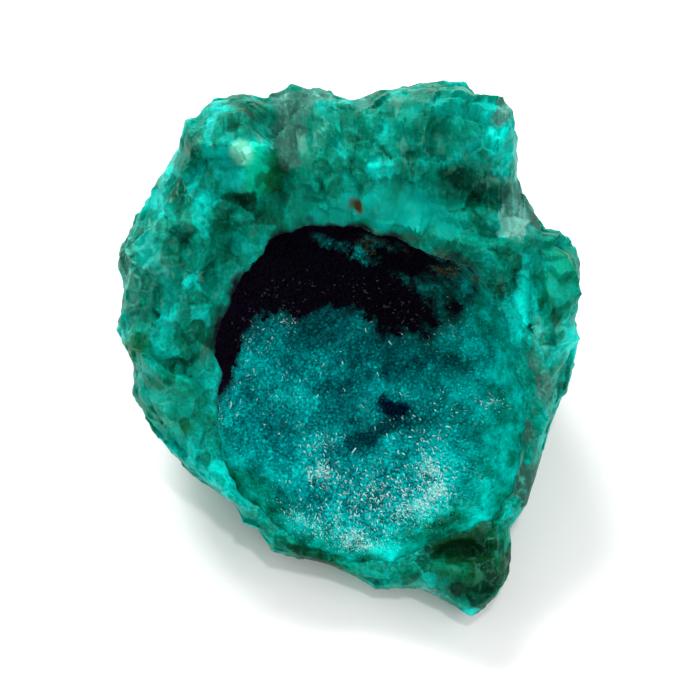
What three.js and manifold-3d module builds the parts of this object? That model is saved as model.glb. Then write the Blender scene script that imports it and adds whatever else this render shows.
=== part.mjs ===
// A dioptase specimen: a broken lump of massive, glassy green crystal with an open hollow in its
// front, and the druse, a crust of small pointed crystals, that lines the hollow.
// Millimetres, +Z up. The lump rests on the flat of its broken back, and the hollow looks up
// and leans towards -Y.
//
// Everything is worked out in the face frame, which looks straight into the hollow: "across" runs
// to the right, "up" runs up the face and "out" runs out of the hollow. The frame's origin is the
// middle of the hollow's mouth. One group leans that frame back and stands it on its base.
import * as THREE from "three";
import Module from "manifold-3d";

const wasm = await Module();
wasm.setup();

// Pose of the face frame in the part: its lean from upright, and where its origin stands.
const LEAN = THREE.MathUtils.degToRad(28);
const MIDDLE_HEIGHT = 16;
const MIDDLE_X = 1.22;
const MIDDLE_Y = -4.7;

// The lump's widest outline, seen along the hollow's axis, anticlockwise from the right.
const OUTLINE = [
  [20.7, 0], [21.8, 5], [21.3, 7], [22.1, 9.8], [22.3, 12.5], [21.9, 14.3], [20, 15.7],
  [18.5, 16.1], [16.4, 19.5], [15.7, 21.5], [15.9, 23.3], [15, 25.5], [15, 27.5], [14, 29.2],
  [11.8, 29.9], [10.5, 30.9], [6.5, 30.9], [1.8, 29.8], [-0.4, 29.3], [-6.8, 30.6],
  [-9.8, 29.4], [-11.6, 29.7], [-15, 28.9], [-16.3, 27.1], [-17.4, 26.9], [-17.9, 24],
  [-20, 21.3], [-22.7, 16.8], [-24.1, 13.5], [-23.8, 9], [-24.3, 6], [-22.6, 2.5],
  [-22.8, -0.5], [-21.8, -2.7], [-17, -8.6], [-12.5, -11.6], [-11.7, -13.3], [-10.2, -14],
  [-8.8, -16.1], [-3, -17.7], [-0.2, -19], [1.6, -20.2], [6, -19.9], [8.8, -21.4],
  [11.3, -22.8], [12.5, -21.8], [14.3, -19.7], [15.3, -17], [15.2, -14], [16.7, -11.6],
  [18.8, -5], [19.6, -2.5],
];

// The edge of the hollow's mouth, in the same order.
const MOUTH = [
  [16.3, 0], [14.8, 6], [13, 10], [11, 12.5], [7, 13.5], [4, 15], [0, 15.9], [-3, 16.3],
  [-6, 16], [-8.5, 15.2], [-10.5, 12.8], [-12.5, 10.5], [-13.2, 8], [-14.4, 4.5], [-13.8, 1],
  [-14.2, -4], [-13.8, -7], [-12, -10], [-9, -13], [-5, -15.8], [-1, -17], [3, -17.5],
  [6, -16], [9, -14.5], [13, -13], [15.2, -10], [16.2, -6],
];

// Round the hollow, in even steps from the right, anticlockwise: how far out the mouth, the rim's
// crest and the outline lie, and how far the hollow's wall turns, past 90 degrees where it is
// undercut.
const MOUTH_OUT = [0.8, 1.6, 3, 2.6, 3, 2.2, 1.5, 0.2, -1.2, -2, -1.2, -0.2];
const CREST_OUT = [2, 3.6, 5.4, 5, 5.6, 5, 3.6, 1.6, -0.2, -1.2, 0.6, 1];
const OUTLINE_OUT = [-2.5, -2, -1, -1, -0.5, -1.5, -2, -2.5, -3, -3.5, -3, -3];
const WALL_TURN = [66, 78, 108, 120, 120, 112, 100, 76, 64, 60, 62, 62];
const CREST_SHARE = 0.45;
const BACK_OUT = -28;
const BACK_ROUNDNESS = 0.75;

// Big flat breaks on the sides and back: the way each one faces round the hollow, how far it
// slopes away from the face, in degrees, and how far behind the outline it starts.
const BREAKS = [
  { facing: 14, slope: 26, behind: 6 },
  { facing: 62, slope: 46, behind: 4.5 },
  { facing: 96, slope: 40, behind: 3.5 },
  { facing: 138, slope: 32, behind: 6 },
  { facing: 172, slope: 16, behind: 6 },
  { facing: 215, slope: 24, behind: 6 },
  { facing: 330, slope: 20, behind: 5 },
];
const BREAK_EASE = 0.2; // the breaks set in over this share of the back, so the outline keeps

// The hollow's floor, and what is sunk into it or swells from it: the cave under the upper wall,
// two dark pits, and the swells between them. Each is a rounded bump.
const FLOOR_OUT = -9;
const SWELLS = [
  { across: -1, up: 8.5, radius: 7.5, rise: -3.2 },
  { across: -11, up: 6, radius: 3.2, rise: -1.6 },
  { across: 3.6, up: -1.6, radius: 1.7, rise: -1 },
  { across: 1, up: -5, radius: 2.4, rise: -0.7 },
  { across: -4, up: -8, radius: 3.4, rise: 0.9 },
  { across: 7.5, up: -8.5, radius: 3.6, rise: 0.9 },
  { across: -6.5, up: 0.5, radius: 3, rise: 0.8 },
  { across: 9, up: 2.5, radius: 3, rise: 0.7 },
];

// Blocks and pits of the rim: middle, half sizes and rise, all in the face frame.
const FEATURES = [
  { across: -12.4, up: 23, wide: 4.4, high: 6, rise: 2.6 }, // the upper left boulder
  { across: -8.6, up: 20.3, wide: 1.7, high: 2.8, rise: -2 }, // the cleft beside it
  { across: -12.8, up: 18.4, wide: 1.5, high: 1.2, rise: -1.4 },
  { across: -6, up: 25.6, wide: 3.3, high: 4, rise: -1.6 }, // the pale recess at the top
  { across: 2.2, up: 22.7, wide: 2.1, high: 1.7, rise: 1.1 }, // a bright little step
  { across: 9, up: 26.3, wide: 5.6, high: 3.6, rise: 2.2 }, // the upper right block
  { across: 14, up: 25, wide: 1.6, high: 4.4, rise: 1.5 }, // the ridge at its right edge
  { across: 9.6, up: 20.2, wide: 4.4, high: 2.2, rise: -2.6 }, // the dark shelf under it
  { across: 17.6, up: 9.5, wide: 0.7, high: 4.5, rise: -1.8 }, // the slot beside the right knob
  { across: 20, up: 11, wide: 2.4, high: 4.6, rise: 1.4 }, // the right knob
  { across: 15.6, up: 7.6, wide: 1.1, high: 4.6, rise: 1.2 }, // the bright rib left of the slot
  { across: 10.2, up: -16.4, wide: 2.6, high: 1.2, rise: -2.2 }, // the dark pit at the lower right
  { across: 12.6, up: -18.6, wide: 2.6, high: 2.2, rise: 1.6 }, // the lower right spur
  { across: -17.6, up: 14.5, wide: 3, high: 4.6, rise: 1.2 }, // slabs down the left wall
  { across: -19.2, up: 3.2, wide: 3.4, high: 2.6, rise: 1 },
  { across: -17.6, up: -2.4, wide: 2.4, high: 2.8, rise: -0.9 },
  { across: -11.8, up: -10.9, wide: 2.4, high: 0.9, rise: 0.8 }, // the lower left ledge
];

// Broken faces: cells of the rock, each tipped its own way and stepped from its neighbours.
const BROKEN_FACES = [
  { size: 8, tilt: 0.34, step: 0.6, seam: 1.2, salt: 1 },
  { size: 3.4, tilt: 0.32, step: 0.25, seam: 0.4, salt: 2 },
];
const CORE_OUT = -6; // the core that the broken faces are pushed away from
const OUTLINE_CALM = 0.6; // how much of the push is held back at the outline
const CALM_REACH = 3;
const MOUTH_FADE = 2.2; // the push grows from nothing over this distance from the mouth

// The druse.
const CRUST_THICKNESS = 1.3;
const CRUST_EDGE = 0.3;
const CRUST_GAP = 0.4;
const CRYSTAL_HEIGHT = 1.2;
const CRYSTAL_LEAN = 0.4;
const UNDERCUT_DRAW = 1.6;

// Mesh steps.
const ROUND_STEPS = 104;
const RIM_STEPS = 13;
const BACK_STEPS = 12;
const DRUSE_STEPS = 30; // even, because every second point is a crystal's tip
const HIDDEN_RINGS = [0.2, 0.4, 0.6, 0.8, 0.93]; // both sides of the joint behind the druse

const TURN = 2 * Math.PI;
const clamp01 = (x) => Math.min(1, Math.max(0, x));
const ease = (x) => clamp01(x) ** 2 * (3 - 2 * clamp01(x));
const mix = (a, b, share) => a + (b - a) * share;

// A number from 0 to 1 that looks random and depends only on a cell and a salt.
function chance(i, j, k, salt) {
  const wave = Math.sin(i * 127.1 + j * 311.7 + k * 74.7 + salt * 53.3) * 43758.5453;
  return wave - Math.floor(wave);
}

// How far a closed outline lies from the axis in a direction: where the ray meets its side.
function reach(outline, angle) {
  const [c, s] = [Math.cos(angle), Math.sin(angle)];
  for (let i = 0; i < outline.length; i++) {
    const [ax, ay] = outline[i];
    const [bx, by] = outline[(i + 1) % outline.length];
    const before = c * ay - s * ax;
    const after = c * by - s * bx;
    const ahead = c * (ax + bx) + s * (ay + by) > 0;
    if (ahead && before <= 0 && after > 0) {
      return (ax * by - bx * ay) / (c * (by - ay) - s * (bx - ax));
    }
  }
  throw new Error("the outline is open");
}

// A value given in even steps round the hollow, eased from one to the next.
function round(values, angle) {
  const place = (((angle / TURN) % 1) + 1) * values.length;
  const step = Math.floor(place);
  return mix(values[step % values.length], values[(step + 1) % values.length], ease(place - step));
}

// The hollow's visible wall: an ellipse's arc from the floor's middle (share 0) to the mouth
// (share 1), with the cave, pits and swells in it.
function hollowPoint(share, angle) {
  const turn = THREE.MathUtils.degToRad(round(WALL_TURN, angle));
  const mouth = reach(MOUTH, angle);
  const along = share * turn;
  const radius = (mouth * Math.sin(along)) / Math.sin(turn);
  const rise = (1 - Math.cos(along)) / (1 - Math.cos(turn));
  const across = radius * Math.cos(angle);
  const up = radius * Math.sin(angle);
  let swell = 0;
  for (const s of SWELLS) {
    const away = Math.hypot(across - s.across, up - s.up) / s.radius;
    swell += s.rise * Math.exp(-(away ** 2)) * (1 - share ** 4);
  }
  return new THREE.Vector3(across, up, mix(FLOOR_OUT, round(MOUTH_OUT, angle), rise) + swell);
}

// The direction out of the hollow's wall into the open hollow, from small steps along it.
function hollowNormal(share, angle) {
  const small = 0.01;
  const near = Math.max(share, small);
  const out = hollowPoint(near + small, angle).sub(hollowPoint(near - small, angle));
  const along = hollowPoint(near, angle + small).sub(hollowPoint(near, angle - small));
  return out.cross(along).normalize();
}

// The wall behind the druse, set back from the visible one by a depth that thins at the mouth.
function behindHollow(share, angle, clearance) {
  const depth = mix(CRUST_THICKNESS, CRUST_EDGE, share ** 4) + clearance;
  return hollowPoint(share, angle).addScaledVector(hollowNormal(share, angle), -depth);
}

// The rise of the blocks and pits at a place on the face: flat-topped bumps with steep sides.
function featureRise(across, up) {
  let rise = 0;
  for (const f of FEATURES) {
    const away = ((across - f.across) / f.wide) ** 2 + ((up - f.up) / f.high) ** 2;
    rise += f.rise * Math.exp(-(away ** 2));
  }
  return rise;
}

// Height of the broken faces at a point: each cell is a plane, and a narrow seam joins two.
function brokenHeight(p, { size, tilt, step, seam, salt }) {
  const cell = [p.x, p.y, p.z].map((x) => Math.floor(x / size));
  let first = { far: Infinity };
  let second = { far: Infinity };
  for (let n = 0; n < 27; n++) {
    const i = cell[0] + (n % 3) - 1;
    const j = cell[1] + (Math.floor(n / 3) % 3) - 1;
    const k = cell[2] + Math.floor(n / 9) - 1;
    const away = [i, j, k].map((x, axis) => {
      const seed = (x + chance(i, j, k, salt + 10 * (axis + 1))) * size;
      return [p.x, p.y, p.z][axis] - seed;
    });
    const far = Math.hypot(...away);
    if (far >= second.far) continue;
    const found = { far, away, i, j, k };
    if (far < first.far) [first, second] = [found, first];
    else second = found;
  }
  const plane = ({ away, i, j, k }) => {
    let height = step * (2 * chance(i, j, k, salt + 50) - 1);
    away.forEach((a, axis) => (height += tilt * a * (2 * chance(i, j, k, salt + 60 + axis) - 1)));
    return height;
  };
  const share = 0.5 - 0.5 * ease((second.far - first.far) / seam);
  return mix(plane(first), plane(second), share);
}

// Moves a point that stands out past a big flat break back onto it, by a share of the way.
function cutBack(p, share) {
  for (const { facing, slope, behind } of BREAKS) {
    const angle = THREE.MathUtils.degToRad(facing);
    const tip = THREE.MathUtils.degToRad(slope);
    const [level, away] = [Math.cos(tip), Math.sin(tip)];
    const normal = new THREE.Vector3(level * Math.cos(angle), level * Math.sin(angle), -away);
    const excess = p.dot(normal) - level * reach(OUTLINE, angle) - away * behind;
    if (excess > 0) p.addScaledVector(normal, -excess * share);
  }
}

// A point of the lump's outside: on the rim from the mouth (0) over the crest to the outline (1),
// and on the back from the outline (1) to the back's middle (2).
function outsidePoint(along, angle) {
  const outline = reach(OUTLINE, angle);
  const mouth = reach(MOUTH, angle) + CRUST_GAP;
  const crest = mix(mouth, outline, CREST_SHARE);
  const crestOut = round(CREST_OUT, angle);
  const outlineOut = round(OUTLINE_OUT, angle);
  let radius;
  let out;
  let features = 1;
  if (along < CREST_SHARE) {
    const share = along / CREST_SHARE;
    radius = mix(mouth, crest, share);
    out = mix(round(MOUTH_OUT, angle), crestOut, Math.sin((share * Math.PI) / 2));
    features = ease(share * 3);
  } else if (along < 1) {
    const bend = ((along - CREST_SHARE) / (1 - CREST_SHARE)) * (Math.PI / 2);
    radius = mix(crest, outline, Math.sin(bend));
    out = mix(outlineOut, crestOut, Math.cos(bend));
  } else {
    const bend = ((along - 1) * Math.PI) / 2;
    radius = outline * Math.max(0, Math.cos(bend)) ** BACK_ROUNDNESS;
    out = mix(outlineOut, BACK_OUT, Math.sin(bend));
    features = Math.cos(bend) ** 4;
  }
  const [c, s] = [Math.cos(angle), Math.sin(angle)];
  out += features * featureRise(radius * c, radius * s);
  const p = new THREE.Vector3(radius * c, radius * s, out);
  if (along > 1) cutBack(p, ease((along - 1) / BREAK_EASE));
  const core = mix(mouth, outline, 0.5);
  const push = new THREE.Vector2(radius - core, out - CORE_OUT).normalize();
  const calm = 1 - OUTLINE_CALM * Math.exp(-(((out - outlineOut) / CALM_REACH) ** 2));
  const fade = along < 1 ? ease((radius - mouth) / MOUTH_FADE) : 1;
  const height = BROKEN_FACES.reduce((sum, faces) => sum + brokenHeight(p, faces), 0);
  push.multiplyScalar(height * calm * fade);
  return p.add(new THREE.Vector3(push.x * c, push.x * s, push.y));
}

// Joins rings of points into triangles, from a first point through the rings to a last point.
// The rings run anticlockwise about the axis, seen from outside the first point.
function closeRings(first, rings, last) {
  const points = [first, ...rings.flat(), last];
  const triangles = [];
  const size = rings[0].length;
  for (let n = 0; n < size; n++) {
    const next = (n + 1) % size;
    triangles.push(0, 1 + n, 1 + next);
    for (let ring = 0; ring + 1 < rings.length; ring++) {
      const here = 1 + ring * size;
      const beyond = here + size;
      triangles.push(here + n, beyond + n, beyond + next, here + n, beyond + next, here + next);
    }
    const end = 1 + (rings.length - 1) * size;
    triangles.push(points.length - 1, end + next, end + n);
  }
  return geometryOf(points, triangles);
}

function geometryOf(points, triangles) {
  const geometry = new THREE.BufferGeometry().setFromPoints(points);
  return geometry.setIndex(triangles);
}

// The lump: the wall behind the druse, the rim and the back, as rings from the hollow's floor to
// the middle of the back.
function lumpGeometry() {
  const angles = Array.from({ length: ROUND_STEPS }, (_, n) => (n / ROUND_STEPS) * TURN);
  const rings = [];
  for (const share of [...HIDDEN_RINGS, 1]) {
    rings.push(angles.map((a) => behindHollow(share, a, CRUST_GAP)));
  }
  for (let n = 0; n < RIM_STEPS; n++) {
    rings.push(angles.map((a) => outsidePoint(n / RIM_STEPS, a)));
  }
  for (let n = 0; n < BACK_STEPS; n++) {
    rings.push(angles.map((a) => outsidePoint(1 + n / BACK_STEPS, a)));
  }
  const floor = new THREE.Vector3(0, 0, behindHollow(0, 0, CRUST_GAP).z);
  return closeRings(floor, rings, new THREE.Vector3(0, 0, BACK_OUT));
}

// The druse: its front is a square grid bent onto the round hollow, where every second point of
// every second row is a crystal's tip, and its back is a few plain rings. The grid is drawn
// inwards where the wall is undercut, so that its crystals stay about as far apart there.
function druseGeometry() {
  const n = DRUSE_STEPS;
  const discPlace = (row, column) => {
    const a = (2 * column) / n - 1;
    const b = (2 * row) / n - 1;
    const x = a * Math.sqrt(1 - (b * b) / 2);
    const y = b * Math.sqrt(1 - (a * a) / 2);
    const angle = Math.atan2(y, x);
    const undercut = clamp01((round(WALL_TURN, angle) - 60) / 60);
    return [Math.min(1, Math.hypot(x, y)) ** mix(1, UNDERCUT_DRAW, undercut), angle];
  };
  const points = [];
  for (let row = 0; row <= n; row++) {
    for (let column = 0; column <= n; column++) {
      const [share, angle] = discPlace(row, column);
      const p = hollowPoint(share, angle);
      if (row % 2 && column % 2) {
        const height = CRYSTAL_HEIGHT * (0.4 + chance(row, column, 0, 70)) * (1 - share ** 8);
        const lean = [0, 1, 2].map((k) => CRYSTAL_LEAN * (2 * chance(row, column, k, 71) - 1));
        const way = hollowNormal(share, angle).add(new THREE.Vector3(...lean));
        p.addScaledVector(way, height);
      }
      points.push(p);
    }
  }
  const triangles = [];
  const at = (row, column) => row * (n + 1) + column;
  for (let row = 0; row < n; row++) {
    for (let column = 0; column < n; column++) {
      const [a, b] = [at(row, column), at(row, column + 1)];
      const [c, d] = [at(row + 1, column), at(row + 1, column + 1)];
      const tipOnDiagonal = (row + column) % 2 === 0;
      if (tipOnDiagonal) triangles.push(a, b, d, a, d, c);
      else triangles.push(a, b, c, b, d, c);
    }
  }
  const edge = [];
  for (let k = 0; k < n; k++) edge.push([0, k]);
  for (let k = 0; k < n; k++) edge.push([k, n]);
  for (let k = n; k > 0; k--) edge.push([n, k]);
  for (let k = n; k > 0; k--) edge.push([k, 0]);
  let ring = edge.map(([row, column]) => at(row, column));
  for (const share of HIDDEN_RINGS.toReversed()) {
    const inner = edge.map(([row, column]) => {
      points.push(behindHollow(share, discPlace(row, column)[1], 0));
      return points.length - 1;
    });
    for (let k = 0; k < ring.length; k++) {
      const next = (k + 1) % ring.length;
      triangles.push(ring[k], inner[next], ring[next], ring[k], inner[k], inner[next]);
    }
    ring = inner;
  }
  points.push(new THREE.Vector3(0, 0, behindHollow(0, 0, 0).z));
  for (let k = 0; k < ring.length; k++) {
    triangles.push(ring[k], points.length - 1, ring[(k + 1) % ring.length]);
  }
  return geometryOf(points, triangles);
}

// A manifold-3d solid from a geometry whose vertices are already shared, and back again.
function toSolid(geometry) {
  const vertProperties = new Float32Array(geometry.attributes.position.array);
  const triVerts = new Uint32Array(geometry.index.array);
  return new wasm.Manifold(new wasm.Mesh({ numProp: 3, vertProperties, triVerts }));
}

function toGeometry(solid) {
  const { vertProperties, triVerts } = solid.getMesh();
  const geometry = new THREE.BufferGeometry();
  geometry.setAttribute("position", new THREE.BufferAttribute(vertProperties, 3));
  return geometry.setIndex(new THREE.BufferAttribute(triVerts, 1));
}

const leaning = new THREE.Group();
leaning.rotation.x = LEAN;
leaning.position.set(MIDDLE_X, MIDDLE_Y, MIDDLE_HEIGHT);
leaning.updateMatrix();

// The lump is broken off flat at the plane that it rests on.
function restOnBase(geometry) {
  const size = 200;
  const box = new THREE.BoxGeometry(size, size, size);
  box.deleteAttribute("normal");
  box.deleteAttribute("uv");
  box.translate(0, 0, -size / 2).applyMatrix4(leaning.matrix.clone().invert());
  return toGeometry(toSolid(geometry).subtract(toSolid(weld(box))));
}

// A box's corners, shared between its faces.
function weld(geometry) {
  const kept = new Map();
  const points = [];
  const { position } = geometry.attributes;
  const triangles = Array.from(geometry.index.array, (n) => {
    const p = new THREE.Vector3().fromBufferAttribute(position, n);
    const key = [p.x, p.y, p.z].map((x) => x.toFixed(3)).join();
    if (!kept.has(key)) {
      kept.set(key, points.length);
      points.push(p);
    }
    return kept.get(key);
  });
  return geometryOf(points, triangles);
}

const massive = new THREE.MeshStandardMaterial({
  color: new THREE.Color(0.0, 0.3, 0.22),
  roughness: 0.25,
  metalness: 0,
  flatShading: true,
});
const drusy = new THREE.MeshStandardMaterial({
  color: new THREE.Color(0.0, 0.2, 0.24),
  roughness: 0.2,
  metalness: 0,
  flatShading: true,
});

const lump = new THREE.Mesh(restOnBase(lumpGeometry()), massive);
lump.name = "massive_dioptase";
const druse = new THREE.Mesh(druseGeometry(), drusy);
druse.name = "druse_crust";
leaning.add(lump, druse);

const specimen = new THREE.Group();
specimen.add(leaning);
export default specimen;
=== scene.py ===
# %% [markdown]
# # A dioptase specimen
# The real thing is one broken lump of glassy green crystal with an open hollow in its front. The
# hollow is lined with druse, a crust of crystals about half a millimetre long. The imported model
# gives both as coarse solids. This script dresses them: it works the same shapes out again on fine
# grids, grows the small crystals, and gives the stone its colour and depth.

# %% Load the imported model
import math

import bpy
import numpy as np
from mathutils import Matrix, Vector


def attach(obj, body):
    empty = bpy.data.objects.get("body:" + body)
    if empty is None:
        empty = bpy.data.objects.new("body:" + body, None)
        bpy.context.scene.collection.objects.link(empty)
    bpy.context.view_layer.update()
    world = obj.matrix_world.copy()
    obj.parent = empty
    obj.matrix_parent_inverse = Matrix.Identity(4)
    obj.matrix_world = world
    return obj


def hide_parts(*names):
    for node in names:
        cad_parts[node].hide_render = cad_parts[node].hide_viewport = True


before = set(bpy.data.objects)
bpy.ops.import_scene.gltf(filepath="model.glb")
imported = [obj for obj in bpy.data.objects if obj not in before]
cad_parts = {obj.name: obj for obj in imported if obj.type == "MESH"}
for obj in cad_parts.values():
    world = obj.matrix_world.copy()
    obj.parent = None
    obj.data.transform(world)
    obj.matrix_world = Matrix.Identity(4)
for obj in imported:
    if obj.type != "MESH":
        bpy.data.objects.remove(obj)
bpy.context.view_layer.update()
ROOT = "root"
LUMP_NODE = "massive_dioptase"
CRUST_NODE = "druse_crust"

# %% [markdown]
# ## The face frame
# The photograph looks straight into the hollow, so the stone is easiest to describe from there:
# *across* to the right, *up* the face and *out* of the hollow, in millimetres from the middle of
# the hollow's mouth. One turn about X and one shift carry that frame into the model's own, where
# the stone lies on its back. Ten pixels of the photograph are one millimetre.

# %% The face frame
MM = 0.001
LEAN = math.radians(28)
MIDDLE = np.array([1.22, -4.7, 16.0])


def to_part(points):
    """Face-frame millimetres to part-frame metres: a turn by the lean about X, then the shift."""
    across, up, out = np.moveaxis(np.asarray(points, float), -1, 0)
    y = up * math.cos(LEAN) - out * math.sin(LEAN)
    z = up * math.sin(LEAN) + out * math.cos(LEAN)
    return (np.stack([across, y, z], -1) + MIDDLE) * MM


print("10 mm out from the mouth's middle, in metres:", to_part((0, 0, 10)).round(4))


# %% [markdown]
# ## Camera, floor and light
# A long lens keeps the outline the same as the flat view of the photograph. The light is soft, but
# it comes from beyond the top of the stone, so that the upper wall throws the cave into shade.

# %% Camera
PHOTO_SIDE = 700
PIXELS_PER_MM = 10
PHOTO_MIDDLE = (-1.0, 4.0)  # where the middle of the photograph falls in the face frame
LENS = 200
SENSOR = 36
distance = PHOTO_SIDE / PIXELS_PER_MM * LENS / SENSOR
camera_data = bpy.data.cameras.new("camera")
camera_data.lens = LENS
camera_data.sensor_width = SENSOR
camera_data.clip_start = 0.01
camera = bpy.data.objects.new("camera", camera_data)
camera.location = to_part([*PHOTO_MIDDLE, distance])
camera.rotation_euler = (LEAN, 0, 0)
bpy.context.collection.objects.link(camera)
bpy.context.scene.camera = camera
looking_down = 90 - math.degrees(LEAN)
print("camera at", [round(x, 3) for x in camera.location], "m, looking", looking_down, "degrees down")

# %% Floor and light
FLOOR_SIDE = 3.0
floor_mesh = bpy.data.meshes.new("floor")
corners = [(x * FLOOR_SIDE / 2, y * FLOOR_SIDE / 2, 0) for x, y in ((-1, -1), (1, -1), (1, 1), (-1, 1))]
floor_mesh.from_pydata(corners, [], [(0, 1, 2, 3)])
floor = bpy.data.objects.new("floor", floor_mesh)
bpy.context.collection.objects.link(floor)


def area_light(name, place, aim, side, power):
    """A square soft box at a place, turned to face a point, both in part-frame metres."""
    data = bpy.data.lights.new(name, "AREA")
    data.size = side
    data.energy = power
    lamp = bpy.data.objects.new(name, data)
    lamp.location = place
    toward = np.array(aim, float) - np.array(place, float)
    lamp.rotation_euler = Vector(toward).to_track_quat("-Z", "Y").to_euler()
    bpy.context.collection.objects.link(lamp)


STONE_MIDDLE = (0, 0, 0.015)
STUDIO_STRENGTH = 0.65
area_light("key", (-0.12, 0.28, 0.34), STONE_MIDDLE, 0.22, 2.5)
area_light("fill", (0.3, -0.25, 0.35), STONE_MIDDLE, 0.5, 1.1)
area_light("spark", (0.05, -0.12, 0.5), STONE_MIDDLE, 0.03, 0.5)
world = bpy.data.worlds.new("studio")
world.use_nodes = True
background = world.node_tree.nodes["Background"]
background.inputs["Color"].default_value = (1, 1, 1, 1)
background.inputs["Strength"].default_value = STUDIO_STRENGTH
bpy.context.scene.world = world
bpy.context.scene.view_settings.view_transform = "Standard"
print("floor", FLOOR_SIDE, "m wide, lights:", sorted(bpy.data.lights.keys()))

# %% [markdown]
# ## Outlines and levels
# The lump's outline and the hollow's mouth are closed outlines, with a point only where they
# turn. Between them the rim climbs to a crest. How far out the mouth, the crest and the outline
# lie changes slowly round the stone, so twelve values each, eased into one another, do.

# %% Outlines and levels
OUTLINE = np.array([
    (20.7, 0), (21.8, 5), (21.3, 7), (22.1, 9.8), (22.3, 12.5), (21.9, 14.3), (20, 15.7),
    (18.5, 16.1), (16.4, 19.5), (15.7, 21.5), (15.9, 23.3), (15, 25.5), (14.8, 27.2), (13.3, 28.5),
    (11.6, 29.6), (10.5, 30.9), (6.5, 30.9), (1.8, 29.8), (-0.4, 29.3), (-6.8, 30.6),
    (-9.8, 29.4), (-11.6, 29.7), (-15, 28.9), (-16.3, 27.1), (-17.4, 26.9), (-17.9, 24),
    (-20, 21.3), (-22.7, 16.8), (-24.1, 13.5), (-23.8, 9), (-24.3, 6), (-22.6, 2.5),
    (-22.8, -0.5), (-21.8, -2.7), (-17, -8.6), (-12.5, -11.6), (-11.7, -13.3), (-10.2, -14),
    (-8.8, -16.1), (-3, -17.7), (-0.2, -19), (1.6, -20.2), (6, -19.9), (8.8, -21.4),
    (11.3, -22.8), (12.5, -21.8), (14.3, -19.7), (15.3, -17), (15.2, -14), (16.7, -11.6),
    (18.8, -5), (19.6, -2.5),
])
MOUTH = np.array([
    (16.3, 0), (14.8, 6), (13, 10), (11, 12.5), (7, 13.5), (4, 15), (0, 15.9), (-3, 16.3),
    (-6, 16), (-8.5, 15.2), (-10.5, 12.8), (-12.5, 10.5), (-13.2, 8), (-14.4, 4.5), (-13.8, 1),
    (-14.2, -4), (-13.8, -7), (-12, -10), (-9, -13), (-5, -15.8), (-1, -17), (3, -17.5),
    (6, -16), (9, -14.5), (13, -13), (15.2, -10), (16.2, -6),
])
MOUTH_OUT = [0.8, 1.6, 3, 2.6, 3, 2.2, 1.5, 0.2, -1.2, -2, -1.2, -0.2]
CREST_OUT = [2, 3.6, 5.4, 5, 5.6, 5, 3.6, 1.6, -0.2, -1.2, 0.6, 1]
OUTLINE_OUT = [-2.5, -2, -1, -1, -0.5, -1.5, -2, -2.5, -3, -3.5, -3, -3]
WALL_TURN = [66, 78, 108, 120, 120, 112, 100, 76, 64, 60, 62, 62]
CREST_SHARE = 0.45
BACK_OUT = -28
BACK_ROUNDNESS = 0.75
TURN = 2 * math.pi


def ease(x):
    """Smooth step from 0 to 1: 3x^2 - 2x^3, held at 0 below and at 1 above."""
    x = np.clip(x, 0, 1)
    return x * x * (3 - 2 * x)


def mix(a, b, share):
    """A straight mix from a to b."""
    return a + (b - a) * share


def reach(outline, angle):
    """Distance from the axis to a closed outline in a direction: where the ray meets its side."""
    angle = np.mod(angle, TURN)
    starts = np.mod(np.arctan2(outline[:, 1], outline[:, 0]), TURN)
    side = np.searchsorted(starts, angle, side="right") - 1
    ax, ay = outline[side].T
    bx, by = outline[(side + 1) % len(outline)].T
    return (ax * by - bx * ay) / (np.cos(angle) * (by - ay) - np.sin(angle) * (bx - ax))


def around(values, angle):
    """Values in even steps round the hollow, eased from one to the next."""
    values = np.array(values, float)
    place = np.mod(angle / TURN, 1) * len(values)
    step = np.floor(place).astype(int)
    return mix(values[step % len(values)], values[(step + 1) % len(values)], ease(place - step))


print("outline", np.ptp(OUTLINE, axis=0), "mm, mouth", np.ptp(MOUTH, axis=0), "mm")

# %% [markdown]
# ## Chance and soft noise
# Everything irregular here comes from one function that turns whole numbers into a number that
# looks random, so the stone is the same on every run. Eased between the corners of a lattice it
# is a soft noise, and three sizes of that together are a cloud.

# %% Chance, noise and clouds
def chance(i, j, k, salt):
    """A number from 0 to 1 that looks random: the fraction left of a large sine."""
    wave = np.sin(i * 127.1 + j * 311.7 + k * 74.7 + salt * 53.3) * 43758.5453
    return wave - np.floor(wave)


def soft_noise(points, size, salt):
    """Noise from -1 to 1: numbers at the corners of a lattice, eased in between."""
    place = points / size
    home = np.floor(place)
    part = ease(place - home)
    total = np.zeros(len(points))
    for n in range(8):
        corner = np.array([n % 2, n // 2 % 2, n // 4])
        weight = np.prod(np.where(corner, part, 1 - part), axis=1)
        total += weight * chance(*(home + corner).T, salt)
    return 2 * total - 1


def cloud(points, size, salt):
    """Three sizes of soft noise, each half as big and half as strong as the one before."""
    return sum(soft_noise(points, size / 2**n, salt + n) / 2**n for n in range(3)) / 1.75


RAGGED = 0.55
RAGGED_SIZE = 1.7


def mouth_reach(angle):
    """Distance from the axis to the mouth, roughened by a cloud read along the mouth."""
    radius = reach(MOUTH, angle)
    along = np.stack([radius * np.cos(angle), radius * np.sin(angle), np.zeros_like(radius)], -1)
    return radius + RAGGED * cloud(along.reshape(-1, 3), RAGGED_SIZE, 160).reshape(radius.shape)


print("the mouth's reach round its middle, in mm:", mouth_reach(np.linspace(0, TURN, 9)).round(1))


# %% [markdown]
# ## The hollow
# Each way from the middle, the hollow's wall is an ellipse's arc. Where it turns past 90 degrees
# it leans back over itself, which is the cave under the upper wall. Rounded bumps sink the cave
# and the pits and raise the swells between them.

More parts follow.
